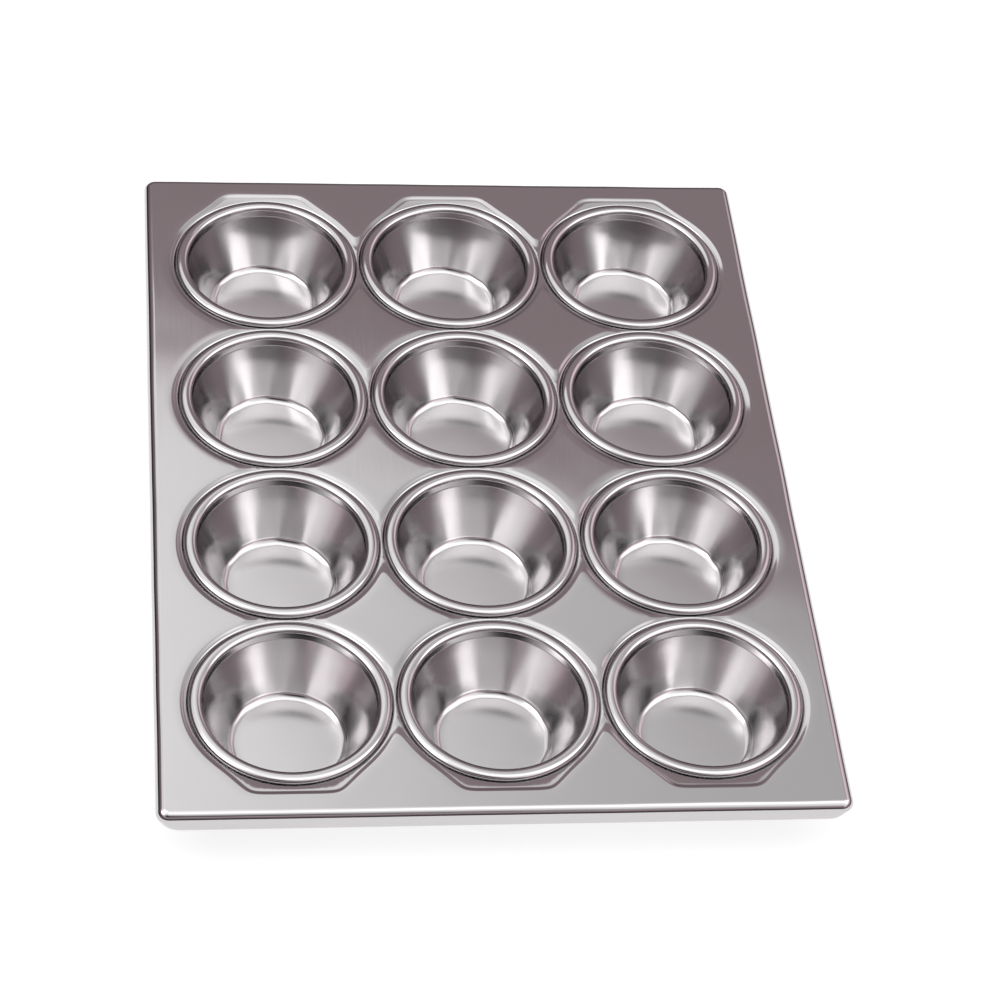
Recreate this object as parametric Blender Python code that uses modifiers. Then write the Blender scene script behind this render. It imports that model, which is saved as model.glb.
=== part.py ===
"""Twelve-cup muffin pan: drawn cups crimped into a frame sheet whose edge is curled round a wire."""

import math

import bmesh
import bpy
from mathutils import Matrix

# Driving dimensions, in metres
COLUMNS = 3
ROWS = 4
LAND_X = 0.0026
LAND_Y = 0.0026
BORDER_X = 0.0133
BORDER_Y = 0.0153

# Cup: inside sizes, depths measured down from the bead's crest
NECK_RADIUS = 0.0344
NECK_DROP = 0.0050
CUP_DEPTH = 0.0280
BASE_RADIUS = 0.0234
BASE_FILLET = 0.0040
CUP_WALL = 0.0008

# Bead that is crimped over the frame's lip
BEAD_WIDTH = 0.0053
BEAD_DOME = 0.0018
BEAD_SKIRT = 0.0004

# Frame sheet, the dish round each hole, and the pad that widens the dish at each end of the pan, its slant in degrees
SHEET = 0.0008
DISH_OVERLAP = 0.0003
RECESS_SLOPE = 0.0020
RECESS_DEPTH = 0.0012
PAD_HALF_WIDTH = 0.0265
PAD_FRONT = 0.0150
PAD_REACH = 0.0050
PAD_CORNER = 0.0060
PAD_SLANT = 50

# Rolled edge of the frame and the wire inside it
EDGE_FOLD = 0.0035
EDGE_FACE = 0.0033
CURL_ANGLE = math.radians(240)
PLANE_CORNER = 0.0015
WIRE_RADIUS = 0.0016
WIRE_BEND = 0.0062
WIRE_GAP = 0.0004

# Clearance between crimped pieces
FIT_GAP = 0.0003

# Facets
ROUND_STEPS = 24
DOME_STEPS = 4
CAVITY_STEPS = 3
FILLET_STEPS = 2
FOLD_STEPS = 4
CURL_STEPS = 11
CORNER_STEPS = 4
SHORT_ARC_STEPS = 4
LONG_ARC_STEPS = 11
PAD_STEPS = 4
WIRE_BEVEL_STEPS = 2
POINT_WEIGHT = 1
SHARP_ANGLE = math.radians(24)
MERGE = 0.00001

# Sizes that follow
BEAD_RADIUS = NECK_RADIUS + BEAD_WIDTH
PITCH_X = 2 * BEAD_RADIUS + LAND_X
PITCH_Y = 2 * BEAD_RADIUS + LAND_Y
HALF_WIDTH = (COLUMNS - 1) * PITCH_X / 2 + BEAD_RADIUS + BORDER_X
HALF_LENGTH = (ROWS - 1) * PITCH_Y / 2 + BEAD_RADIUS + BORDER_Y
CREST_Z = CUP_DEPTH + CUP_WALL
LIP_TOP_Z = CREST_Z - BEAD_DOME
RECESS_Z = LIP_TOP_Z - BEAD_SKIRT - FIT_GAP
PLANE_Z = RECESS_Z + RECESS_DEPTH
LIP_RADIUS = NECK_RADIUS + CUP_WALL + FIT_GAP + SHEET
RECESS_RADIUS = max(PITCH_X, PITCH_Y) / 2 + DISH_OVERLAP + RECESS_SLOPE
CURL_RADIUS = WIRE_RADIUS + WIRE_GAP + SHEET
CURL_Z = PLANE_Z - EDGE_FOLD - EDGE_FACE
WALL_TILT = math.atan2(NECK_RADIUS - BASE_RADIUS, CUP_DEPTH - NECK_DROP)

# Colours and roughness of the metals
ALUMINIUM = (0.58, 0.56, 0.57, 1.0)
STEEL = (0.45, 0.45, 0.46, 1.0)
FRAME_ROUGHNESS = 0.32
CUP_ROUGHNESS = 0.26
WIRE_ROUGHNESS = 0.40


def clear_scene():
    for item in list(bpy.data.objects):
        bpy.data.objects.remove(item, do_unlink=True)


def make_material(name, colour, roughness):
    material = bpy.data.materials.new(name)
    material.use_nodes = True
    shader = material.node_tree.nodes["Principled BSDF"]
    shader.inputs["Base Color"].default_value = colour
    shader.inputs["Metallic"].default_value = 1.0
    shader.inputs["Roughness"].default_value = roughness
    return material


def add_object(name, data, material, collection):
    data.materials.append(material)
    item = bpy.data.objects.new(name, data)
    collection.objects.link(item)
    return item


def arc(centre_x, centre_z, radius_x, radius_z, start, end, steps):
    """Points on an ellipse from one angle to another, both ends included."""
    angles = [start + (end - start) * step / steps for step in range(steps + 1)]
    return [(centre_x + radius_x * math.cos(a), centre_z + radius_z * math.sin(a)) for a in angles]


def cup_side(offset):
    """Floor edge, fillet and neck foot of the cup's inside, moved outwards by an offset."""
    floor = CUP_WALL - offset
    corner = BASE_RADIUS + offset * (1 - math.sin(WALL_TILT)) / math.cos(WALL_TILT)
    fillet = BASE_FILLET + offset
    flat = corner - fillet * math.tan((math.pi / 2 - WALL_TILT) / 2)
    points = arc(flat, floor + fillet, fillet, fillet, -math.pi / 2, -WALL_TILT, FILLET_STEPS)
    neck_foot = CREST_Z - NECK_DROP - offset * math.tan(WALL_TILT / 2)
    return points + [(NECK_RADIUS + offset, neck_foot)]


def cup_profile():
    """Half section of a cup: up its inside, over the bead, and down its outside to the axis."""
    bead_centre = NECK_RADIUS + BEAD_WIDTH / 2
    skirt_foot = LIP_TOP_Z - BEAD_SKIRT
    dome = arc(bead_centre, LIP_TOP_Z, BEAD_WIDTH / 2, BEAD_DOME, math.pi, 0, DOME_STEPS)
    skirt = [(BEAD_RADIUS, skirt_foot), (BEAD_RADIUS - CUP_WALL, skirt_foot)]
    cavity = arc(bead_centre, LIP_TOP_Z, BEAD_WIDTH / 2 - CUP_WALL, BEAD_DOME - CUP_WALL, 0, math.pi, CAVITY_STEPS)
    inside = [(0, CUP_WALL)] + cup_side(0)
    outside = cup_side(CUP_WALL)[::-1] + [(0, 0)]
    return inside + dome + skirt + cavity + outside


def cup_mesh():
    mesh = bpy.data.meshes.new("muffin_cup")
    points = [(radius, 0, height) for radius, height in cup_profile()]
    edges = [(index, index + 1) for index in range(len(points) - 1)]
    mesh.from_pydata(points, edges, [])
    return mesh


def turn(item):
    screw = item.modifiers.new("Turned", "SCREW")
    screw.angle = 2 * math.pi
    screw.steps = screw.render_steps = ROUND_STEPS
    screw.use_merge_vertices = True
    screw.merge_threshold = MERGE
    screw.use_smooth_shade = True


def cup_centres():
    """Row, column and centre of each cup, counted from 0: row 0 is the far one, column 0 the left one."""
    for row in range(ROWS):
        for column in range(COLUMNS):
            x = (column - (COLUMNS - 1) / 2) * PITCH_X
            y = ((ROWS - 1) / 2 - row) * PITCH_Y
            yield row, column, x, y


def add_loop(bm, points):
    """Closed loop of edges through a list of points."""
    verts = [bm.verts.new(point) for point in points]
    return [bm.edges.new((verts[i - 1], verts[i])) for i in range(len(verts))]


def add_ring(bm, x, y, z):
    """Circle of the lip's outer radius round a cup's axis."""
    made = bmesh.ops.create_circle(bm, radius=LIP_RADIUS, segments=ROUND_STEPS, matrix=Matrix.Translation((x, y, z)))
    return list({edge for vert in made["verts"] for edge in vert.link_edges})


def rounded_rectangle(half_x, half_y, radius, z):
    points = []
    for sign_x, sign_y, start in ((1, 1, 0), (-1, 1, 90), (-1, -1, 180), (1, -1, 270)):
        centre_x = sign_x * (half_x - radius)
        centre_y = sign_y * (half_y - radius)
        first = math.radians(start)
        corner = arc(centre_x, centre_y, radius, radius, first, first + math.pi / 2, CORNER_STEPS)
        points += [(x, y, z) for x, y in corner]
    return points


def dish_arc(x, y, start, end, radius, steps, z):
    """Part of the dish outline, between two angles in degrees."""
    points = arc(x, y, radius, radius, math.radians(start), math.radians(end), steps)
    return [(px, py, z) for px, py in points]


def padded_arc(x, y, start, end, way, steps, trim, z):
    """Part of the dish outline round an end cup, with its pad: way is 1 for the far end and -1 for the near one."""
    radius = RECESS_RADIUS - trim
    corner = PAD_CORNER - trim
    meet = math.degrees(math.asin((PAD_HALF_WIDTH - trim) / radius))
    facing = 180 - way * 90
    corner_x = way * PAD_FRONT
    corner_y = y + way * (BEAD_RADIUS + PAD_REACH - PAD_CORNER)
    points = dish_arc(x, y, start, facing - meet, radius, steps[0], z)
    points += dish_arc(x + corner_x, corner_y, facing - PAD_SLANT, facing, corner, PAD_STEPS, z)
    points += dish_arc(x - corner_x, corner_y, facing, facing + PAD_SLANT, corner, PAD_STEPS, z)
    return points + dish_arc(x, y, facing + meet, end, radius, steps[1], z)


def dish_outline(trim, z):
    """Outer outline of the joined dishes, anticlockwise from the near left cup."""
    radius = RECESS_RADIUS - trim
    side = math.degrees(math.acos(PITCH_X / 2 / radius))
    end = math.degrees(math.acos(PITCH_Y / 2 / radius))
    centres = {(row, column): (x, y) for row, column, x, y in cup_centres()}
    near, right = ROWS - 1, COLUMNS - 1
    points = []
    for column in range(COLUMNS):
        start, left_steps = (90 + end, LONG_ARC_STEPS) if column == 0 else (180 + side, SHORT_ARC_STEPS)
        stop, right_steps = (450 - end, LONG_ARC_STEPS) if column == right else (360 - side, SHORT_ARC_STEPS)
        points += padded_arc(*centres[near, column], start, stop, -1, (left_steps, right_steps), trim, z)
    for row in range(near - 1, 0, -1):
        points += dish_arc(*centres[row, right], end - 90, 90 - end, radius, LONG_ARC_STEPS, z)
    for column in range(right, -1, -1):
        start, right_steps = (end - 90, LONG_ARC_STEPS) if column == right else (side, SHORT_ARC_STEPS)
        stop, left_steps = (270 - end, LONG_ARC_STEPS) if column == 0 else (180 - side, SHORT_ARC_STEPS)
        points += padded_arc(*centres[0, column], start, stop, 1, (right_steps, left_steps), trim, z)
    for row in range(1, near):
        points += dish_arc(*centres[row, 0], 90 + end, 270 - end, radius, LONG_ARC_STEPS, z)
    return drop_doubles(points)


def island_outline(x, y, trim, z):
    """Outline of the flat island among four cups, which are centred half a pitch away."""
    radius = RECESS_RADIUS - trim
    side = math.degrees(math.acos(PITCH_X / 2 / radius))
    end = math.degrees(math.acos(PITCH_Y / 2 / radius))
    points = []
    for sign_x, sign_y, start, stop in (
        (1, -1, 180 - side, 90 + end),
        (1, 1, 270 - end, 180 + side),
        (-1, 1, 360 - side, 270 + end),
        (-1, -1, 90 - end, side),
    ):
        centre = (x + sign_x * PITCH_X / 2, y + sign_y * PITCH_Y / 2)
        points += dish_arc(*centre, start, stop, radius, SHORT_ARC_STEPS, z)
    return drop_doubles(points)


def drop_doubles(points):
    return [point for index, point in enumerate(points) if math.dist(point, points[index - 1]) > MERGE]


def fill(bm, edges):
    bmesh.ops.triangle_fill(bm, use_beauty=True, use_dissolve=False, edges=edges)


def bridge(bm, first, second):
    bmesh.ops.bridge_loops(bm, edges=first + second)


def edge_rings():
    """Inset, height and corner radius of each ring down the rolled edge, from the fold's start."""
    fold = arc(-EDGE_FOLD, PLANE_Z - EDGE_FOLD, EDGE_FOLD, EDGE_FOLD, math.pi / 2, 0, FOLD_STEPS)
    curl = arc(-CURL_RADIUS, CURL_Z, CURL_RADIUS, CURL_RADIUS, 0, -CURL_ANGLE, CURL_STEPS)
    rings = [(inset, z, PLANE_CORNER + EDGE_FOLD + inset) for inset, z in fold]
    return rings + [(inset, z, WIRE_BEND + CURL_RADIUS + inset) for inset, z in curl]


def frame_mesh():
    """Top face of the frame sheet, from the lips out to the end of the curl, before it gets its thickness."""
    bm = bmesh.new()
    rings = []
    for inset, z, corner in edge_rings():
        rings.append(add_loop(bm, rounded_rectangle(HALF_WIDTH + inset, HALF_LENGTH + inset, corner, z)))
    for upper, lower in zip(rings, rings[1:]):
        bridge(bm, upper, lower)
    brink = add_loop(bm, dish_outline(0, PLANE_Z))
    foot = add_loop(bm, dish_outline(RECESS_SLOPE, RECESS_Z))
    fill(bm, rings[0] + brink)
    bridge(bm, brink, foot)
    floor_edges = list(foot)
    for row, column, x, y in cup_centres():
        if row > 0 and column > 0:
            corner_x, corner_y = x - PITCH_X / 2, y + PITCH_Y / 2
            island = add_loop(bm, island_outline(corner_x, corner_y, 0, PLANE_Z))
            island_foot = add_loop(bm, island_outline(corner_x, corner_y, RECESS_SLOPE, RECESS_Z))
            fill(bm, island)
            bridge(bm, island, island_foot)
            floor_edges += island_foot
        lip_foot = add_ring(bm, x, y, RECESS_Z)
        lip_top = add_ring(bm, x, y, LIP_TOP_Z)
        bridge(bm, lip_foot, lip_top)
        floor_edges += lip_foot
    fill(bm, floor_edges)
    bmesh.ops.recalc_face_normals(bm, faces=bm.faces)
    highest = max(bm.faces, key=lambda face: abs(face.normal.z) * face.calc_area())
    if highest.normal.z < 0:
        bmesh.ops.reverse_faces(bm, faces=bm.faces)
    mesh = bpy.data.meshes.new("frame_sheet")
    bm.to_mesh(mesh)
    bm.free()
    mesh.shade_smooth()
    mesh.set_sharp_from_angle(angle=SHARP_ANGLE)
    return mesh


def thicken(item):
    solidify = item.modifiers.new("Sheet", "SOLIDIFY")
    solidify.thickness = SHEET
    solidify.offset = -1
    solidify.use_even_offset = True


def wire_curve():
    """Closed wire along the middle of the curl."""
    curve = bpy.data.curves.new("rim_wire", "CURVE")
    curve.dimensions = "3D"
    curve.bevel_depth = WIRE_RADIUS
    curve.bevel_resolution = WIRE_BEVEL_STEPS
    points = rounded_rectangle(HALF_WIDTH - CURL_RADIUS, HALF_LENGTH - CURL_RADIUS, WIRE_BEND, CURL_Z)
    spline = curve.splines.new("POLY")
    spline.points.add(len(points) - 1)
    for target, point in zip(spline.points, points):
        target.co = (*point, POINT_WEIGHT)
    spline.use_cyclic_u = True
    return curve


def build():
    clear_scene()
    pan = bpy.data.collections.new("muffin_pan")
    bpy.context.scene.collection.children.link(pan)
    frame_metal = make_material("frame_aluminium", ALUMINIUM, FRAME_ROUGHNESS)
    frame = add_object("frame_sheet", frame_mesh(), frame_metal, pan)
    thicken(frame)
    add_object("rim_wire", wire_curve(), make_material("wire_steel", STEEL, WIRE_ROUGHNESS), pan)
    turned = cup_mesh()
    for row, column, x, y in cup_centres():
        place = f"r{row + 1}_c{column + 1}"
        cup_metal = make_material(f"cup_aluminium_{place}", ALUMINIUM, CUP_ROUGHNESS)
        cup = add_object(f"muffin_cup_{place}", turned.copy(), cup_metal, pan)
        cup.location = (x, y, 0)
        turn(cup)


build()
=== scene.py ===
"""Twelve-cup muffin pan on a pale studio floor.

Bright drawn cups are crimped into a satin frame sheet, whose edge is folded down and curled round a steel wire.
Every length is in metres.
"""

import logging
import math
import random
from collections.abc import Callable
from dataclasses import dataclass, field
from enum import Enum

import bmesh
import bpy
from mathutils import Matrix, Vector, noise


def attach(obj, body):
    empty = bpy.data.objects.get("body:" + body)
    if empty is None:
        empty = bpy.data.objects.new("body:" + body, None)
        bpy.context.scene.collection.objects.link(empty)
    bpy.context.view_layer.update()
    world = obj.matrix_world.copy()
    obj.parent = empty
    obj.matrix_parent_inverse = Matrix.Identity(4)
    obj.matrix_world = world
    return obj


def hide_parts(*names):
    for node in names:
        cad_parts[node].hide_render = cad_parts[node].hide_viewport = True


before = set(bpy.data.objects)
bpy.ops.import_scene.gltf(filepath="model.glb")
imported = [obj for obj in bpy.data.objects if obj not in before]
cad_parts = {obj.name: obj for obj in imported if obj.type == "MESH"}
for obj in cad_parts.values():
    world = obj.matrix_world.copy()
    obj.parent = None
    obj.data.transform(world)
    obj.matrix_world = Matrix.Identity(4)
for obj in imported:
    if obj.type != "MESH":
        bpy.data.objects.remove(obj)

log = logging.getLogger("muffin_pan")

MM = 0.001
# Heights closer than this count as level
MERGE = 0.01 * MM


class Slot(Enum):
    """The record's material slots."""

    FRAME = "frame"
    CUP = "cup"
    WIRE = "wire"


def linear(hex_colour: str) -> tuple[float, float, float, float]:
    """Turn an sRGB hex colour into linear light.

    Args:
        hex_colour: Six hex digits, such as "c8c4c8".

    Returns:
        Red, green, blue and alpha, from 0 to 1.
    """
    values = [int(hex_colour[i : i + 2], 16) / 255 for i in (0, 2, 4)]
    red, green, blue = (v / 12.92 if v <= 0.04045 else ((v + 0.055) / 1.055) ** 2.4 for v in values)
    return red, green, blue, 1.0


def add_node(tree: bpy.types.NodeTree, kind: str, links: dict | None = None, **settings) -> bpy.types.Node:
    """Add a node with its settings, input values and incoming links.

    Args:
        tree: The node tree that gets the node.
        kind: The node's type name.
        links: Input name or index to a value, or to the socket that feeds it.
        settings: The node's own properties.

    Returns:
        The new node.
    """
    node = tree.nodes.new(kind)
    for name, value in settings.items():
        setattr(node, name, value)
    for key, value in (links or {}).items():
        if isinstance(value, bpy.types.NodeSocket):
            tree.links.new(value, node.inputs[key])
        else:
            node.inputs[key].default_value = value
    return node


@dataclass(frozen=True)
class MetalFinish:
    """A bare metal surface: its colour, its polish and the marks that its making left.

    The grain is drawn coarser than the real one, which is too fine to show from the camera.
    """

    name: str
    colour: str
    roughness: float
    roughness_swing: float
    grain_mm: tuple[float, float, float]
    grain_height_mm: float
    ripple_mm: float
    ripple_height_mm: float
    # How much smoother the metal gets at the rim, and between which heights
    rim_polish: float = 0.0
    rim_mm: tuple[float, float] = (25.5, 27.5)

    def material(self) -> bpy.types.Material:
        """Build the finish as a Principled material.

        Returns:
            The material, whose patterns read Object coordinates.
        """
        material = bpy.data.materials.new(self.name)
        material.use_nodes = True
        tree = material.node_tree
        shader = tree.nodes["Principled BSDF"]
        shader.inputs["Base Color"].default_value = linear(self.colour)
        shader.inputs["Metallic"].default_value = 1.0
        place = add_node(tree, "ShaderNodeTexCoord").outputs["Object"]
        grain_scale = tuple(1 / (size * MM) for size in self.grain_mm)
        stretched = add_node(tree, "ShaderNodeMapping", {"Vector": place, "Scale": grain_scale}).outputs["Vector"]
        grain = add_node(tree, "ShaderNodeTexNoise", {"Vector": stretched, "Scale": 1.0, "Detail": 3.0})
        links = {"Vector": place, "Scale": 1 / (self.ripple_mm * MM), "Detail": 1.0}
        ripple = add_node(tree, "ShaderNodeTexNoise", links)
        low = self.roughness - self.roughness_swing
        high = self.roughness + self.roughness_swing
        spread = {"Value": grain.outputs["Fac"], "To Min": low, "To Max": high}
        rough = add_node(tree, "ShaderNodeMapRange", spread).outputs["Result"]
        height = add_node(tree, "ShaderNodeSeparateXYZ", {"Vector": place}).outputs["Z"]
        foot, top = (level * MM for level in self.rim_mm)
        links = {"Value": height, "From Min": foot, "From Max": top, "To Max": -self.rim_polish}
        polish = add_node(tree, "ShaderNodeMapRange", links).outputs["Result"]
        rough = add_node(tree, "ShaderNodeMath", {0: rough, 1: polish}, operation="ADD").outputs["Value"]
        tree.links.new(rough, shader.inputs["Roughness"])
        wide = {"Height": ripple.outputs["Fac"], "Distance": self.ripple_height_mm * MM, "Strength": 1.0}
        swell = add_node(tree, "ShaderNodeBump", wide)
        fine = {
            "Height": grain.outputs["Fac"],
            "Normal": swell.outputs["Normal"],
            "Distance": self.grain_height_mm * MM,
            "Strength": 1.0,
        }
        scratches = add_node(tree, "ShaderNodeBump", fine)
        tree.links.new(scratches.outputs["Normal"], shader.inputs["Normal"])
        return material


# Cold-rolled aluminium sheet: a bright satin face with a faint grain along the rolling direction
ROLLED_ALUMINIUM = MetalFinish(
    name="rolled_aluminium",
    colour="c8c6c7",
    roughness=0.08,
    roughness_swing=0.02,
    grain_mm=(0.9, 14.0, 0.9),
    grain_height_mm=0.001,
    ripple_mm=60.0,
    ripple_height_mm=0.25,
)
# Deep-drawn aluminium: streaked up the wall by the die, and burnished on the bead where it was crimped
DRAWN_ALUMINIUM = MetalFinish(
    name="drawn_aluminium",
    colour="cac8c9",
    roughness=0.16,
    roughness_swing=0.02,
    grain_mm=(0.8, 0.8, 6.0),
    grain_height_mm=0.001,
    ripple_mm=30.0,
    ripple_height_mm=0.08,
    rim_polish=0.09,
)
# Hard-drawn steel wire: darker and duller, with an even fine grain
DRAWN_STEEL = MetalFinish(
    name="drawn_steel",
    colour="a8a8aa",
    roughness=0.36,
    roughness_swing=0.05,
    grain_mm=(1.0, 1.0, 1.0),
    grain_height_mm=0.002,
    ripple_mm=40.0,
    ripple_height_mm=0.0,
)


def deselect_all() -> None:
    """Leave edit mode and deselect every object."""
    if bpy.context.mode != "OBJECT":
        bpy.ops.object.mode_set(mode="OBJECT")
    bpy.ops.object.select_all(action="DESELECT")


def activate(piece: bpy.types.Object) -> None:
    """Select one object alone and make it active."""
    deselect_all()
    piece.select_set(True)
    bpy.context.view_layer.objects.active = piece


def settle(piece: bpy.types.Object) -> None:
    """Move a piece's place, turn and scale into its mesh."""
    activate(piece)
    bpy.ops.object.transform_apply(location=True, rotation=True, scale=True)


def thicken(piece: bpy.types.Object, thickness: float) -> None:
    """Give an open sheet its thickness below its face.

    Args:
        piece: The sheet, with its face's normals outwards.
        thickness: How thick the metal is.
    """
    activate(piece)
    solidify = piece.modifiers.new("Metal", "SOLIDIFY")
    solidify.thickness = thickness
    solidify.offset = -1
    solidify.use_even_offset = True
    bpy.ops.object.modifier_apply(modifier=solidify.name)


def smooth(piece: bpy.types.Object, degrees: float) -> None:
    """Shade a piece smooth, except across edges sharper than an angle.

    Args:
        piece: The finished mesh.
        degrees: The least angle that stays sharp.
    """
    activate(piece)
    bpy.ops.object.shade_smooth_by_angle(angle=math.radians(degrees))


def arc(centre: tuple[float, float], radii: tuple[float, float], start: float, end: float, steps: int) -> list:
    """List points on an ellipse.

    Args:
        centre: Its centre.
        radii: Its two radii.
        start: The first angle, in radians.
        end: The last angle, in radians.
        steps: How many steps lie between them.

    Returns:
        The points, both ends included.
    """
    angles = [start + (end - start) * step / steps for step in range(steps + 1)]
    return [(centre[0] + radii[0] * math.cos(a), centre[1] + radii[1] * math.sin(a)) for a in angles]


def span(centre: tuple[float, float], radius: float, start: float, end: float, steps: int) -> list:
    """List points on a circle.

    Args:
        centre: Its centre.
        radius: Its radius.
        start: The first angle, in degrees.
        end: The last angle, in degrees.
        steps: How many steps lie between them.

    Returns:
        The points, both ends included.
    """
    return arc(centre, (radius, radius), math.radians(start), math.radians(end), steps)


def between(first: tuple[float, float], last: tuple[float, float], steps: int) -> list[tuple[float, float]]:
    """List points on a straight line.

    Args:
        first: Where it starts.
        last: Where it ends.
        steps: How many steps it has.

    Returns:
        The points, both ends left out.
    """
    return [tuple(a + (b - a) * step / steps for a, b in zip(first, last)) for step in range(1, steps)]


def draw_strip(name: str, loops: list[list[tuple[float, float, float]]]) -> bpy.types.Object:
    """Draw an open strip: a circle laid on the first loop, then extruded onto each next one.

    Args:
        name: The strip's name.
        loops: The loops, with as many points in each.

    Returns:
        The strip.
    """
    deselect_all()
    bpy.ops.mesh.primitive_circle_add(vertices=len(loops[0]), radius=1, fill_type="NOTHING", location=(0, 0, 0))
    strip = bpy.context.object
    strip.name = name
    order = strip.data.attributes.new("order", "INT", "POINT")
    order.data.foreach_set("value", range(len(loops[0])))
    for vertex, point in zip(strip.data.vertices, loops[0]):
        vertex.co = point
    bpy.ops.object.mode_set(mode="EDIT")
    bpy.ops.mesh.select_all(action="SELECT")
    for loop in loops[1:]:
        bpy.ops.mesh.extrude_edges_move()
        bm = bmesh.from_edit_mesh(strip.data)
        layer = bm.verts.layers.int["order"]
        for vertex in bm.verts:
            if vertex.select:
                vertex.co = loop[vertex[layer]]
        bmesh.update_edit_mesh(strip.data)
    bpy.ops.object.mode_set(mode="OBJECT")
    strip.data.attributes.remove(strip.data.attributes["order"])
    return strip


def fill_level(piece: bpy.types.Object, low: float, high: float) -> None:
    """Fill the nearly flat area among a piece's open edges between two heights.

    Args:
        piece: The open piece.
        low: The height of the lowest of those edges.
        high: The height of the highest of them.
    """
    activate(piece)
    bpy.ops.object.mode_set(mode="EDIT")
    bpy.context.tool_settings.mesh_select_mode = (False, True, False)
    bpy.ops.mesh.select_all(action="DESELECT")
    bm = bmesh.from_edit_mesh(piece.data)
    for edge in bm.edges:
        level = all(low - MERGE < vertex.co.z < high + MERGE for vertex in edge.verts)
        edge.select_set(edge.is_boundary and level)
    bmesh.update_edit_mesh(piece.data)
    bpy.ops.mesh.fill(use_beauty=True)
    bpy.ops.object.mode_set(mode="OBJECT")


def copy_to(piece: bpy.types.Object, x: float, y: float) -> bpy.types.Object:
    """Copy a piece with its mesh, and move the copy.

    Args:
        piece: The piece.
        x: How far across.
        y: How far along.

    Returns:
        The copy, with its place in its mesh.
    """
    twin = piece.copy()
    twin.data = piece.data.copy()
    twin.data.transform(Matrix.Translation((x, y, 0)))
    bpy.context.scene.collection.objects.link(twin)
    return twin


def join_pieces(parts: list[bpy.types.Object]) -> bpy.types.Object:
    """Join meshes into the first of them.

    Args:
        parts: The meshes.

    Returns:
        The first one, which now holds all.
    """
    activate(parts[0])
    for part in parts[1:]:
        part.select_set(True)
    bpy.ops.object.join()
    return parts[0]


def finish_piece(piece: bpy.types.Object, node: str, material: bpy.types.Material) -> None:
    """Dress a piece, and have it stand for its CAD node.

    Args:
        piece: The finished mesh.
        node: The CAD node that it replaces.
        material: Its metal.
    """
    piece.data.materials.clear()
    piece.data.materials.append(material)
    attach(piece, "root")
    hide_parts(node)
    log.info("%s: %d faces", piece.name, len(piece.data.polygons))


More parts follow.
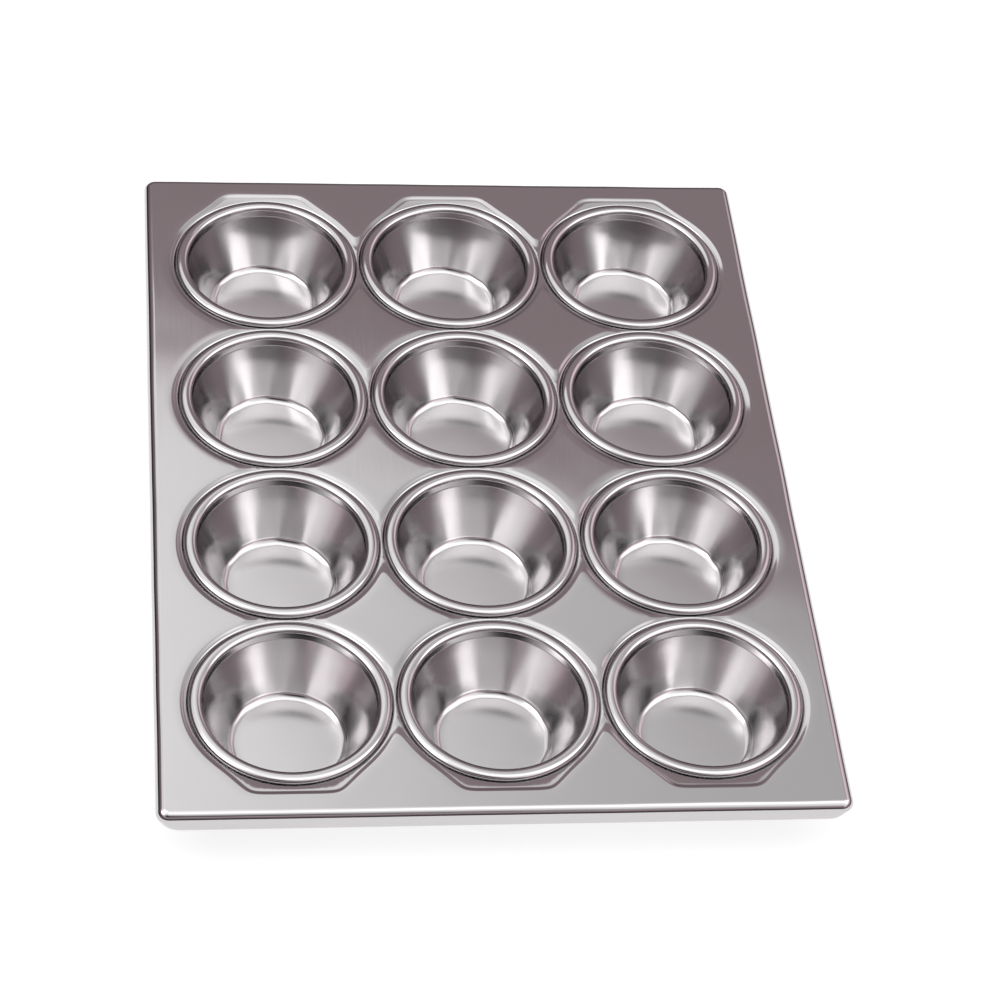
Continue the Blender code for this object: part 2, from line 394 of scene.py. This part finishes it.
@dataclass
class MuffinCup:
    """A drawn cup with a flat floor, a tapered wall, a short neck and a rolled bead."""

    neck_radius: float = 34.4 * MM
    neck_drop: float = 5.0 * MM
    depth: float = 28.0 * MM
    base_radius: float = 23.4 * MM
    fillet: float = 4.0 * MM
    wall: float = 0.8 * MM
    bead_width: float = 5.3 * MM
    bead_dome: float = 1.8 * MM
    bead_skirt: float = 0.4 * MM
    bead_fullness: float = 0.8
    bead_tuck: float = 0.5 * MM
    shoulder: float = 1.4 * MM
    floor_crown: float = 0.12 * MM
    # How far the foot puckers in and out, in how many waves, and how strong each of them may be
    pucker: float = 0.45 * MM
    pucker_counts: tuple[int, ...] = (4, 7, 11, 16)
    pucker_sizes: tuple[float, float] = (0.4, 1.0)
    # Rings of the floor as shares of its radius, and the steps of each part of the profile above it
    floor_rings: tuple[float, ...] = (0.2, 0.45, 0.7, 0.88)
    fillet_steps: int = 12
    wall_steps: int = 5
    bend_steps: int = 4
    dome_steps: int = 18
    skirt_steps: int = 4
    segments: int = 96
    sharp_degrees: float = 40.0
    pattern: bpy.types.Object | None = field(default=None, init=False)

    @property
    def crest(self) -> float:
        """Height of the bead's crest."""
        return self.depth + self.wall

    @property
    def lip_top(self) -> float:
        """Height of the bead's widest line."""
        return self.crest - self.bead_dome

    @property
    def bead_radius(self) -> float:
        """Outer radius of the bead."""
        return self.neck_radius + self.bead_width

    def profile(self) -> list[tuple[float, float]]:
        """Trace the face of the cup from its floor to the foot of the bead.

        Returns:
            Radius and height of each ring.
        """
        rise = self.depth - self.neck_drop
        tilt = math.atan2(self.neck_radius - self.base_radius, rise)
        flat = self.base_radius - self.fillet * math.tan((math.pi / 2 - tilt) / 2)
        floor = [(flat * share, self.wall + self.floor_crown * (1 - share**2)) for share in self.floor_rings]
        foot_centre = (flat, self.wall + self.fillet)
        foot = arc(foot_centre, (self.fillet, self.fillet), -math.pi / 2, -tilt, self.fillet_steps)
        neck_foot = self.wall + rise
        reach = self.shoulder * math.tan(tilt / 2)
        wall_end = (self.neck_radius - reach * math.sin(tilt), neck_foot - reach * math.cos(tilt))
        wall = between(foot[-1], wall_end, self.wall_steps) + [wall_end]
        bend_centre = (self.neck_radius - self.shoulder, neck_foot + reach)
        bend = arc(bend_centre, (self.shoulder,) * 2, -tilt, 0, self.bend_steps)[1:]
        middle = self.neck_radius + self.bead_width / 2
        dome = []
        for across, up in arc((0, 0), (1, 1), math.pi, 0, self.dome_steps):
            swollen = math.copysign(abs(across) ** self.bead_fullness, across)
            height = self.lip_top + self.bead_dome * max(0.0, up) ** self.bead_fullness
            dome.append((middle + self.bead_width / 2 * swollen, height))
        tuck = (self.bead_tuck, self.bead_skirt)
        skirt_centre = (self.bead_radius - self.bead_tuck, self.lip_top)
        skirt = arc(skirt_centre, tuck, 0, -math.pi / 2, self.skirt_steps)[1:]
        return floor + foot + wall + bend + dome + skirt

    def draw_pattern(self) -> bpy.types.Object:
        """Draw the cup's face up from its floor, ring by ring.

        Returns:
            The open pattern, centred on the origin.
        """
        rings = self.profile()
        deselect_all()
        radius, height = rings[0]
        bpy.ops.mesh.primitive_circle_add(
            vertices=self.segments, radius=radius, fill_type="NGON", location=(0, 0, height)
        )
        pattern = bpy.context.object
        pattern.name = "cup_pattern"
        bpy.ops.object.mode_set(mode="EDIT")
        bpy.ops.mesh.select_all(action="SELECT")
        bpy.ops.mesh.region_to_loop()
        for next_radius, next_height in rings[1:]:
            lift = (0, 0, next_height - height)
            bpy.ops.mesh.extrude_edges_move(TRANSFORM_OT_translate={"value": lift})
            scale = next_radius / radius
            bpy.ops.transform.resize(value=(scale, scale, 1), center_override=(0, 0, 0))
            radius, height = next_radius, next_height
        bpy.ops.object.mode_set(mode="OBJECT")
        settle(pattern)
        self.pattern = pattern
        return pattern

    def make(self, row: int, column: int, x: float, y: float) -> bpy.types.Object:
        """Copy the pattern to its place, with faint puckers of its own, and give it its wall.

        Args:
            row: The cup's row, from 0 at the far end.
            column: The cup's column, from 0 at the left.
            x: Its axis across the pan.
            y: Its axis along the pan.

        Returns:
            The finished cup.
        """
        cup = copy_to(self.pattern, 0, 0)
        cup.name = f"drawn_cup_r{row + 1}_c{column + 1}"
        chance = random.Random(31 * row + column)
        waves = []
        for count in self.pucker_counts:
            waves.append((count, chance.uniform(0, 2 * math.pi), chance.uniform(*self.pucker_sizes)))
        fade = self.wall + self.depth * 0.5
        for vertex in cup.data.vertices:
            share = max(0.0, 1 - abs(vertex.co.z - self.fillet * 0.5) / fade)
            radius = math.hypot(vertex.co.x, vertex.co.y)
            if radius < self.base_radius * 0.75:
                continue
            angle = math.atan2(vertex.co.y, vertex.co.x)
            swing = sum(size * math.sin(count * angle + phase) for count, phase, size in waves) / len(waves)
            growth = 1 + self.pucker * share * swing / radius
            vertex.co.x *= growth
            vertex.co.y *= growth
        cup.data.transform(Matrix.Translation((x, y, 0)))
        thicken(cup, self.wall)
        smooth(cup, self.sharp_degrees)
        return cup


@dataclass
class FrameSheet:
    """The flat sheet round the cups: its dished rings, its folded edge and its curl."""

    columns: int = 3
    rows: int = 4
    pitch: float = 82.0 * MM
    half_width: float = 135.0 * MM
    half_length: float = 178.0 * MM
    lip_radius: float = 36.3 * MM
    lip_top: float = 27.0 * MM
    bead_radius: float = 39.7 * MM
    plane: float = 27.5 * MM
    sheet: float = 0.8 * MM
    dish_radius: float = 43.3 * MM
    dish_depth: float = 1.2 * MM
    dish_slope: float = 2.0 * MM
    dish_tail: float = 3.0 * MM
    tail_depth: float = 0.04 * MM
    shelf_depth: float = 0.38 * MM
    collar_radius: float = 40.9 * MM
    collar_depth: float = 0.40 * MM
    collar_foot: float = 39.7 * MM
    pad_half_width: float = 26.5 * MM
    pad_front: float = 15.0 * MM
    pad_reach: float = 5.0 * MM
    pad_corner: float = 6.0 * MM
    pad_slant: float = 50.0
    edge_fold: float = 3.5 * MM
    edge_face: float = 3.3 * MM
    curl_radius: float = 2.8 * MM
    curl_degrees: float = 240.0
    plane_corner: float = 1.5 * MM
    wire_bend: float = 6.2 * MM
    flat_margin: float = 0.2 * MM
    edge_waver: float = 0.12 * MM
    waver_length: float = 24.0 * MM
    soften_passes: int = 10
    sharp_degrees: float = 28.0
    # Steps of the outline's arcs, alike at every trim, so that its rings have as many points
    free_steps: int = 50
    joined_steps: int = 12
    side_steps: int = 54
    pad_steps: int = 16
    island_steps: int = 24
    collar_steps: int = 96

    def centre(self, row: int, column: int) -> tuple[float, float]:
        """Find a cup's axis.

        Args:
            row: The cup's row, from 0 at the far end.
            column: The cup's column, from 0 at the left.

        Returns:
            Its place across and along the pan.
        """
        return (column - (self.columns - 1) / 2) * self.pitch, ((self.rows - 1) / 2 - row) * self.pitch

    def centres(self) -> list[tuple[int, int, float, float]]:
        """List row, column and axis of each cup, from the far left one."""
        return [(row, column, *self.centre(row, column)) for row in range(self.rows) for column in range(self.columns)]

    def drop_at(self, trim: float) -> float:
        """Work out how far the dish's slope lies below the flat face.

        Args:
            trim: How far inside the dish's outline, or outside it where negative.

        Returns:
            The depth there.
        """
        if trim < 0:
            return self.tail_depth * max(0.0, 1 + trim / self.dish_tail) ** 2
        share = min(1.0, trim / self.dish_slope)
        lead = 2 * self.tail_depth / self.dish_tail * self.dish_slope
        fall = share * share * (3 - 2 * share)
        return self.tail_depth * (1 - fall) + lead * share * (1 - share) ** 2 + self.shelf_depth * fall

    def trims(self) -> list[float]:
        """List the rings across the dish's outer slope, from the flat face inwards."""
        tail = [-self.dish_tail * share for share in (1.0, 0.75, 0.5, 0.25, 0.1)]
        slope = [self.dish_slope * step / 8 for step in range(9)]
        return [-self.dish_tail - self.flat_margin, *tail, *slope]

    def collar(self) -> list[tuple[float, float]]:
        """Trace the dish's inner slope, its floor and the lip.

        Returns:
            Radius and height of each ring round a cup.
        """
        rings = []
        for step in range(7):
            share = step / 6
            depth = self.collar_depth + (self.dish_depth - self.collar_depth) * share * share * (3 - 2 * share)
            rings.append((self.collar_radius + (self.collar_foot - self.collar_radius) * share, self.plane - depth))
        return rings + [(self.lip_radius, self.plane - self.dish_depth), (self.lip_radius, self.lip_top)]

    def cusp(self, trim: float) -> float:
        """Find where two neighbouring dishes' outlines meet.

        Args:
            trim: How far inside the outlines.

        Returns:
            The angle, in degrees, off the line that joins their axes.
        """
        return math.degrees(math.acos(self.pitch / 2 / (self.dish_radius - trim)))

    def end_dish(self, column: int, trim: float) -> list[tuple[float, float]]:
        """Trace the outline round a cup of the near row, with the pad in front of it.

        Args:
            column: The cup's column.
            trim: How far inside the outline.

        Returns:
            The points, anticlockwise, without the last one.
        """
        x, y = self.centre(self.rows - 1, column)
        ring = self.dish_radius - trim
        corner = self.pad_corner - trim
        front = y - self.bead_radius - self.pad_reach + trim
        meet = math.degrees(math.asin((self.pad_half_width - trim) / ring))
        start, left_steps = 180 + self.cusp(trim), self.joined_steps
        end, right_steps = 360 - self.cusp(trim), self.joined_steps
        if column == 0:
            start, left_steps = 90 + self.cusp(trim), self.free_steps
        if column == self.columns - 1:
            end, right_steps = 450 - self.cusp(trim), self.free_steps
        left, right = x - self.pad_front, x + self.pad_front
        points = span((x, y), ring, start, 270 - meet, left_steps)
        left_bend = span((left, front + corner), corner, 270 - self.pad_slant, 270, 5)
        right_bend = span((right, front + corner), corner, 270, 270 + self.pad_slant, 5)
        back = span((x, y), ring, 270 + meet, end, right_steps)
        points += between(points[-1], left_bend[0], 5) + left_bend
        points += between((left, front), (right, front), self.pad_steps)
        return points + right_bend + between(right_bend[-1], back[0], 5) + back[:-1]

    def outline(self, trim: float) -> list[tuple[float, float]]:
        """Trace the joined dishes' outline, anticlockwise from the near left cup.

        Args:
            trim: How far inside the outline.

        Returns:
            The points, of which the second half is the first half turned half round.
        """
        points = []
        for column in range(self.columns):
            points += self.end_dish(column, trim)
        cusp = self.cusp(trim)
        for row in range(self.rows - 2, 0, -1):
            middle = self.centre(row, self.columns - 1)
            points += span(middle, self.dish_radius - trim, cusp - 90, 90 - cusp, self.side_steps)[:-1]
        return self.soften(points + [(-x, -y) for x, y in points])

    def island(self, trim: float) -> list[tuple[float, float]]:
        """Trace the flat island that four dishes leave among them, round the origin.

        Args:
            trim: How far inside the dishes' outlines.

        Returns:
            The points, anticlockwise.
        """
        half, cusp = self.pitch / 2, self.cusp(trim)
        points = []
        for turn, middle in ((0, (half, -half)), (90, (half, half)), (180, (-half, half)), (270, (-half, -half))):
            ends = 180 - cusp + turn, 90 + cusp + turn
            points += span(middle, self.dish_radius - trim, *ends, self.island_steps)[:-1]
        return self.soften(points)

    def soften(self, points: list[tuple[float, float]]) -> list[tuple[float, float]]:
        """Round the cusps of a closed outline, as pressed metal has them.

        Args:
            points: The outline.

        Returns:
            As many points, on the softened outline.
        """
        for _ in range(self.soften_passes):
            after = points[1:] + points[:1]
            before = points[-1:] + points[:-1]
            triples = zip(before, points, after)
            points = [tuple((a + 2 * b + c) / 4 for a, b, c in zip(*triple)) for triple in triples]
        return points

    def edge_rings(self) -> list[tuple[float, float, float]]:
        """List the rings down the rolled edge.

        Returns:
            Inset from the outer face, height and corner radius of each ring.
        """
        fold_centre = (-self.edge_fold, self.plane - self.edge_fold)
        fold = arc(fold_centre, (self.edge_fold,) * 2, math.pi / 2, 0, 8)
        fold.insert(0, (-self.edge_fold - self.flat_margin, self.plane))
        curl_z = self.plane - self.edge_fold - self.edge_face
        end = -math.radians(self.curl_degrees)
        curl = arc((-self.curl_radius, curl_z), (self.curl_radius,) * 2, 0, end, 20)
        made = [(inset, z, self.plane_corner + self.edge_fold + inset) for inset, z in fold]
        return made + [(inset, z, self.wire_bend + self.curl_radius + inset) for inset, z in curl]

    def rectangle(self, inset: float, radius: float) -> list[tuple[float, float]]:
        """Trace the pan's outline.

        Args:
            inset: How far it lies outside the pan's outer face, or inside where negative.
            radius: Its corner radius.

        Returns:
            The points, anticlockwise.
        """
        x, y = self.half_width + inset - radius, self.half_length + inset - radius
        points = []
        for start, middle, steps in ((0, (x, y), 40), (90, (-x, y), 54), (180, (-x, -y), 40), (270, (x, -y), 54)):
            bend = span(middle, radius, start, start + 90, 10)
            points += bend
            length = 2 * (x if start in (0, 180) else y)
            ahead = (length * math.cos(math.radians(start + 180)), length * math.sin(math.radians(start + 180)))
            points += between(bend[-1], (bend[-1][0] + ahead[0], bend[-1][1] + ahead[1]), steps)
        return points

    def waver(self, x: float, y: float, z: float) -> float:
        """Find how far the hand-rolled edge strays outwards at a place.

        Args:
            x: Place across the pan.
            y: Place along the pan.
            z: Height.

        Returns:
            The stray, the same whenever it is asked.
        """
        return self.edge_waver * noise.noise(Vector((x, y, z)) / self.waver_length)

    def draw_edge(self) -> bpy.types.Object:
        """Draw the fold and the curl down from the flat face.

        Returns:
            The open strip.
        """
        loops = []
        for inset, z, radius in self.edge_rings():
            flat = z > self.plane - MERGE
            loop = []
            for x, y in self.rectangle(inset, radius):
                stray = 0 if flat else self.waver(x, y, z)
                loop.append((x * (1 + stray / self.half_width), y * (1 + stray / self.half_length), z + stray / 2))
            loops.append(loop)
        return draw_strip("pan_sheet", loops)

    def draw_slope(self, name: str, trace: Callable[[float], list[tuple[float, float]]]) -> bpy.types.Object:
        """Draw a dish's slope down from the flat face.

        Args:
            name: The strip's name.
            trace: What traces the outline at a trim.

        Returns:
            The open strip.
        """
        heights = [(trim, self.plane - self.drop_at(trim)) for trim in self.trims()]
        return draw_strip(name, [[(x, y, z) for x, y in trace(trim)] for trim, z in heights])

    def make(self) -> bpy.types.Object:
        """Join the rolled edge, the slopes and the lips with flat sheet, and give it its thickness.

        Returns:
            The finished sheet.
        """
        sheet = join_pieces([self.draw_edge(), self.draw_slope("dish_slope", self.outline)])
        fill_level(sheet, self.plane, self.plane)
        island = self.draw_slope("island", self.island)
        fill_level(island, self.plane, self.plane)
        rings = []
        for radius, height in self.collar():
            ring = span((0, 0), radius, 0, 360, self.collar_steps)[:-1]
            rings.append([(x, y, height) for x, y in ring])
        collar = draw_strip("collar", rings)
        parts = [sheet]
        for row, column, x, y in self.centres():
            parts.append(copy_to(collar, x, y))
            if row > 0 and column > 0:
                parts.append(copy_to(island, x - self.pitch / 2, y + self.pitch / 2))
        for pattern in (collar, island):
            bpy.data.objects.remove(pattern, do_unlink=True)
        sheet = join_pieces(parts)
        fill_level(sheet, self.plane - self.collar_depth, self.plane - self.shelf_depth)
        activate(sheet)
        bpy.ops.object.mode_set(mode="EDIT")
        bpy.ops.mesh.select_all(action="SELECT")
        bpy.ops.mesh.normals_make_consistent(inside=False)
        bpy.ops.object.mode_set(mode="OBJECT")
        if max(sheet.data.polygons, key=lambda face: face.area).normal.z < 0:
            sheet.data.flip_normals()
        thicken(sheet, self.sheet)
        smooth(sheet, self.sharp_degrees)
        return sheet


@dataclass
class RimWire:
    """The steel wire that runs inside the curl."""

    half_width: float = 132.2 * MM
    half_length: float = 175.2 * MM
    height: float = 20.7 * MM
    radius: float = 1.6 * MM
    bend: float = 6.2 * MM
    bend_steps: int = 10
    round_steps: int = 4
    sharp_degrees: float = 50.0

    def make(self) -> bpy.types.Object:
        """Bend the wire from a bevelled outline.

        Returns:
            The finished wire.
        """
        deselect_all()
        bpy.ops.mesh.primitive_plane_add(size=2, location=(0, 0, self.height))
        wire = bpy.context.object
        wire.name = "edge_wire"
        wire.scale = (self.half_width, self.half_length, 1)
        settle(wire)
        bpy.ops.object.mode_set(mode="EDIT")
        bpy.ops.mesh.select_all(action="SELECT")
        bpy.ops.mesh.bevel(offset=self.bend, segments=self.bend_steps, affect="VERTICES")
        bpy.ops.mesh.select_all(action="SELECT")
        bpy.ops.mesh.delete(type="ONLY_FACE")
        bpy.ops.object.mode_set(mode="OBJECT")
        bpy.ops.object.convert(target="CURVE")
        wire = bpy.context.object
        wire.data.bevel_depth = self.radius
        wire.data.bevel_resolution = self.round_steps
        bpy.ops.object.convert(target="MESH")
        wire = bpy.context.object
        settle(wire)
        smooth(wire, self.sharp_degrees)
        return wire


@dataclass
class Studio:
    """The floor, the soft lights and the camera."""

    floor_size: float = 6.0
    lens: float = 108.0
    sensor: float = 36.0
    azimuth: float = -11.409
    elevation: float = 47.755
    roll: float = 8.325
    target: tuple[float, float, float] = (10.04 * MM, -18.25 * MM, 27.5 * MM)
    distance: float = 1.2513
    floor_colour: str = "fafafa"
    floor_roughness: float = 0.9
    # How much of the seen floor is glow, and how bright that is, where 1 is white
    floor_glow: float = 0.68
    glow_strength: float = 1.2
    softbox_distance: float = 1.8
    softbox_way: tuple[float, float] = (-60.0, 68.0)
    softbox_size: tuple[float, float] = (0.8, 0.5)
    softbox_watts: float = 1.9
    # The room's level behind the pan and in front of it, and between which directions it changes
    room_far: float = 0.34
    room_near: float = 0.60
    room_reach: tuple[float, float] = (0.3, -0.8)
    right_wall: tuple[float, float] = (0.30, 0.46)
    right_gain: float = 0.8
    room_colour: str = "ffe9ef"
    ceiling_colour: str = "fffefe"
    ceiling_level: float = 1.15
    # Lowest direction of the ceiling: all round, and over the far wall, whose edge is skewed
    ceiling_edge: tuple[float, float] = (math.sin(math.radians(38.5)), math.sin(math.radians(41.5)))
    far_axis: tuple[float, float] = (-109.0, 78.6)
    far_edge: tuple[float, float] = (0.640, 0.660)
    far_reach: tuple[float, float] = (0.50, 0.35)
    # Azimuth, elevation, degrees at which it starts and is full, and how much brighter, or darker where negative, the
    # ceiling is there
    ceiling_lobes: tuple[tuple[float, ...], ...] = (
        (-86.0, 50.0, 20.0, 6.0, 1.9),
        (-75.0, 65.0, 45.0, 15.0, 0.4),
        (180.0, 45.0, 50.0, 20.0, -0.85),
        (34.0, 50.0, 22.0, 4.0, -0.5),
        (76.0, 50.0, 14.0, 3.0, 0.7),
        (-46.0, 52.0, 26.0, 10.0, -0.35),
        (-169.0, 50.0, 22.0, 11.0, -0.29),
        (54.0, 42.0, 17.0, 6.0, -0.4),
        (115.0, 60.0, 42.0, 14.0, 0.9),
    )
    # How much of the room's light is left at the horizon, and up to which height it fades
    horizon: float = 0.12
    horizon_reach: tuple[float, float] = (0.22, 0.65)

    def make_floor(self) -> None:
        """Lay a plain white floor under the pan, which glows a little, so that its shadow stays soft."""
        deselect_all()
        bpy.ops.mesh.primitive_plane_add(size=self.floor_size, location=(0, 0, 0))
        floor = bpy.context.object
        floor.name = "floor"
        material = bpy.data.materials.new("white_paper")
        material.use_nodes = True
        tree = material.node_tree
        paper = tree.nodes["Principled BSDF"]
        paper.inputs["Base Color"].default_value = linear(self.floor_colour)
        paper.inputs["Roughness"].default_value = self.floor_roughness
        rays = add_node(tree, "ShaderNodeLightPath").outputs
        links = {0: rays["Is Camera Ray"], 1: rays["Is Glossy Ray"]}
        seen = add_node(tree, "ShaderNodeMath", links, operation="MAXIMUM")
        links = {0: seen.outputs["Value"], 1: rays["Is Transmission Ray"]}
        seen = add_node(tree, "ShaderNodeMath", links, operation="MAXIMUM")
        links = {0: seen.outputs["Value"], 1: self.floor_glow}
        share = add_node(tree, "ShaderNodeMath", links, operation="MULTIPLY")
        glow = add_node(tree, "ShaderNodeEmission", {"Color": linear("ffffff"), "Strength": self.glow_strength})
        links = {0: share.outputs["Value"], 1: paper.outputs["BSDF"], 2: glow.outputs["Emission"]}
        mixed = add_node(tree, "ShaderNodeMixShader", links)
        tree.links.new(mixed.outputs["Shader"], tree.nodes["Material Output"].inputs["Surface"])
        floor.data.materials.append(material)

    def make_world(self) -> None:
        """Surround the pan with a dim room under a broad bright ceiling, which is brightest on the left."""
        world = bpy.data.worlds.new("studio_room")
        bpy.context.scene.world = world
        world.use_nodes = True
        tree = world.node_tree
        toward = add_node(tree, "ShaderNodeTexCoord").outputs["Generated"]
        axes = add_node(tree, "ShaderNodeSeparateXYZ", {"Vector": toward}).outputs
        above = self.world_share(tree, axes["Z"], *self.ceiling_edge)
        links = {0: toward, 1: self.direction(*self.far_axis)}
        skewed = add_node(tree, "ShaderNodeVectorMath", links, operation="DOT_PRODUCT").outputs["Value"]
        over = self.world_share(tree, skewed, *self.far_edge)
        beside = self.world_share(tree, axes["Y"], *self.far_reach)
        clear = add_node(tree, "ShaderNodeMath", {0: over, 1: beside}, operation="MAXIMUM").outputs["Value"]
        ceiling = add_node(tree, "ShaderNodeMath", {0: above, 1: clear}, operation="MINIMUM").outputs["Value"]
        back, front = self.room_reach
        links = {"Value": axes["Y"], "From Min": back, "From Max": front}
        links |= {"To Min": self.room_far, "To Max": self.room_near}
        room = add_node(tree, "ShaderNodeMapRange", links)
        right = self.world_share(tree, axes["X"], *self.right_wall)
        links = {0: right, 1: self.right_gain, 2: room.outputs["Result"]}
        level = add_node(tree, "ShaderNodeMath", links, operation="MULTIPLY_ADD").outputs["Value"]
        low, high = self.horizon_reach
        links = {"Value": axes["Z"], "From Min": low, "From Max": high, "To Min": self.horizon}
        fade = add_node(tree, "ShaderNodeMapRange", links).outputs["Result"]
        level = add_node(tree, "ShaderNodeMath", {0: level, 1: fade}, operation="MULTIPLY").outputs["Value"]
        panel = self.ceiling_level
        for azimuth, elevation, widest, full, gain in self.ceiling_lobes:
            links = {0: toward, 1: self.direction(azimuth, elevation)}
            facing = add_node(tree, "ShaderNodeVectorMath", links, operation="DOT_PRODUCT")
            edges = (math.cos(math.radians(widest)), math.cos(math.radians(full)))
            lobe = self.world_share(tree, facing.outputs["Value"], *edges)
            links = {0: lobe, 1: gain, 2: panel}
            panel = add_node(tree, "ShaderNodeMath", links, operation="MULTIPLY_ADD").outputs["Value"]
        links = {"Factor": ceiling, "A": level, "B": panel}
        strength = add_node(tree, "ShaderNodeMix", links, data_type="FLOAT")
        background = tree.nodes["Background"]
        tree.links.new(strength.outputs["Result"], background.inputs["Strength"])
        tint = add_node(tree, "ShaderNodeMix", {"Factor": ceiling}, data_type="RGBA")
        tint.inputs[6].default_value = linear(self.room_colour)
        tint.inputs[7].default_value = linear(self.ceiling_colour)
        tree.links.new(tint.outputs[2], background.inputs["Color"])

    def world_share(
        self, tree: bpy.types.NodeTree, value: bpy.types.NodeSocket, low: float, high: float
    ) -> bpy.types.NodeSocket:
        """Add a soft step from 0 to 1 between two values.

        Args:
            tree: The world's node tree.
            value: The socket that is stepped.
            low: Where the step starts.
            high: Where it ends.

        Returns:
            The step's socket.
        """
        links = {"Value": value, "From Min": low, "From Max": high}
        return add_node(tree, "ShaderNodeMapRange", links, interpolation_type="SMOOTHSTEP").outputs["Result"]

    def direction(self, azimuth: float, elevation: float) -> tuple[float, float, float]:
        """Point from the pan into the room.

        Args:
            azimuth: Degrees from the far side, positive to the right.
            elevation: Degrees above the floor.

        Returns:
            The unit vector.
        """
        turn, lift = math.radians(azimuth), math.radians(elevation)
        return math.sin(turn) * math.cos(lift), math.cos(turn) * math.cos(lift), math.sin(lift)

    def add_softbox(self, name: str, place: tuple, size: tuple[float, float], power: float) -> None:
        """Hang a rectangular soft light that faces the pan.

        Args:
            name: The light's name.
            place: Its centre.
            size: Its width and height.
            power: Its power in watts.
        """
        lamp = bpy.data.lights.new(name, "AREA")
        lamp.shape = "RECTANGLE"
        lamp.size, lamp.size_y = size
        lamp.energy = power
        holder = bpy.data.objects.new(name, lamp)
        holder.location = place
        holder.rotation_euler = (-Vector(place)).to_track_quat("-Z", "Y").to_euler()
        bpy.context.scene.collection.objects.link(holder)

    def make_lights(self) -> None:
        """Set the soft light, high on the left."""
        place = tuple(self.softbox_distance * part for part in self.direction(*self.softbox_way))
        self.add_softbox("left_softbox", place, self.softbox_size, self.softbox_watts)

    def make_camera(self) -> None:
        """Set the camera at the photograph's angle."""
        azimuth, elevation = math.radians(self.azimuth), math.radians(self.elevation)
        ground = math.cos(elevation)
        back = Vector((math.sin(azimuth) * ground, -math.cos(azimuth) * ground, math.sin(elevation)))
        right = Vector((0, 0, 1)).cross(back).normalized()
        up = back.cross(right)
        turn = math.radians(self.roll)
        x_axis = right * math.cos(turn) + up * math.sin(turn)
        y_axis = up * math.cos(turn) - right * math.sin(turn)
        data = bpy.data.cameras.new("camera")
        data.lens, data.sensor_width = self.lens, self.sensor
        camera = bpy.data.objects.new("camera", data)
        place = Vector(self.target) + back * self.distance
        turned = Matrix((x_axis, y_axis, back)).transposed().to_4x4()
        camera.matrix_world = Matrix.Translation(place) @ turned
        bpy.context.scene.collection.objects.link(camera)
        bpy.context.scene.camera = camera

    def make(self) -> None:
        """Build the studio and set how the picture is shown."""
        bpy.context.scene.view_settings.view_transform = "Standard"
        self.make_camera()
        self.make_floor()
        self.make_world()
        self.make_lights()


def main() -> None:
    """Build the pan and the studio."""
    logging.basicConfig(level=logging.INFO)
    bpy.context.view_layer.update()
    Studio().make()
    rolled = ROLLED_ALUMINIUM.material()
    drawn = DRAWN_ALUMINIUM.material()
    frame_sheet = FrameSheet()
    finish_piece(frame_sheet.make(), "frame_sheet", rolled)
    finish_piece(RimWire().make(), "rim_wire", DRAWN_STEEL.material())
    cup = MuffinCup()
    cup.draw_pattern()
    for row, column, x, y in frame_sheet.centres():
        finish_piece(cup.make(row, column, x, y), f"muffin_cup_r{row + 1}_c{column + 1}", drawn)
    bpy.data.objects.remove(cup.pattern, do_unlink=True)
    deselect_all()


if __name__ == "__main__":
    main()
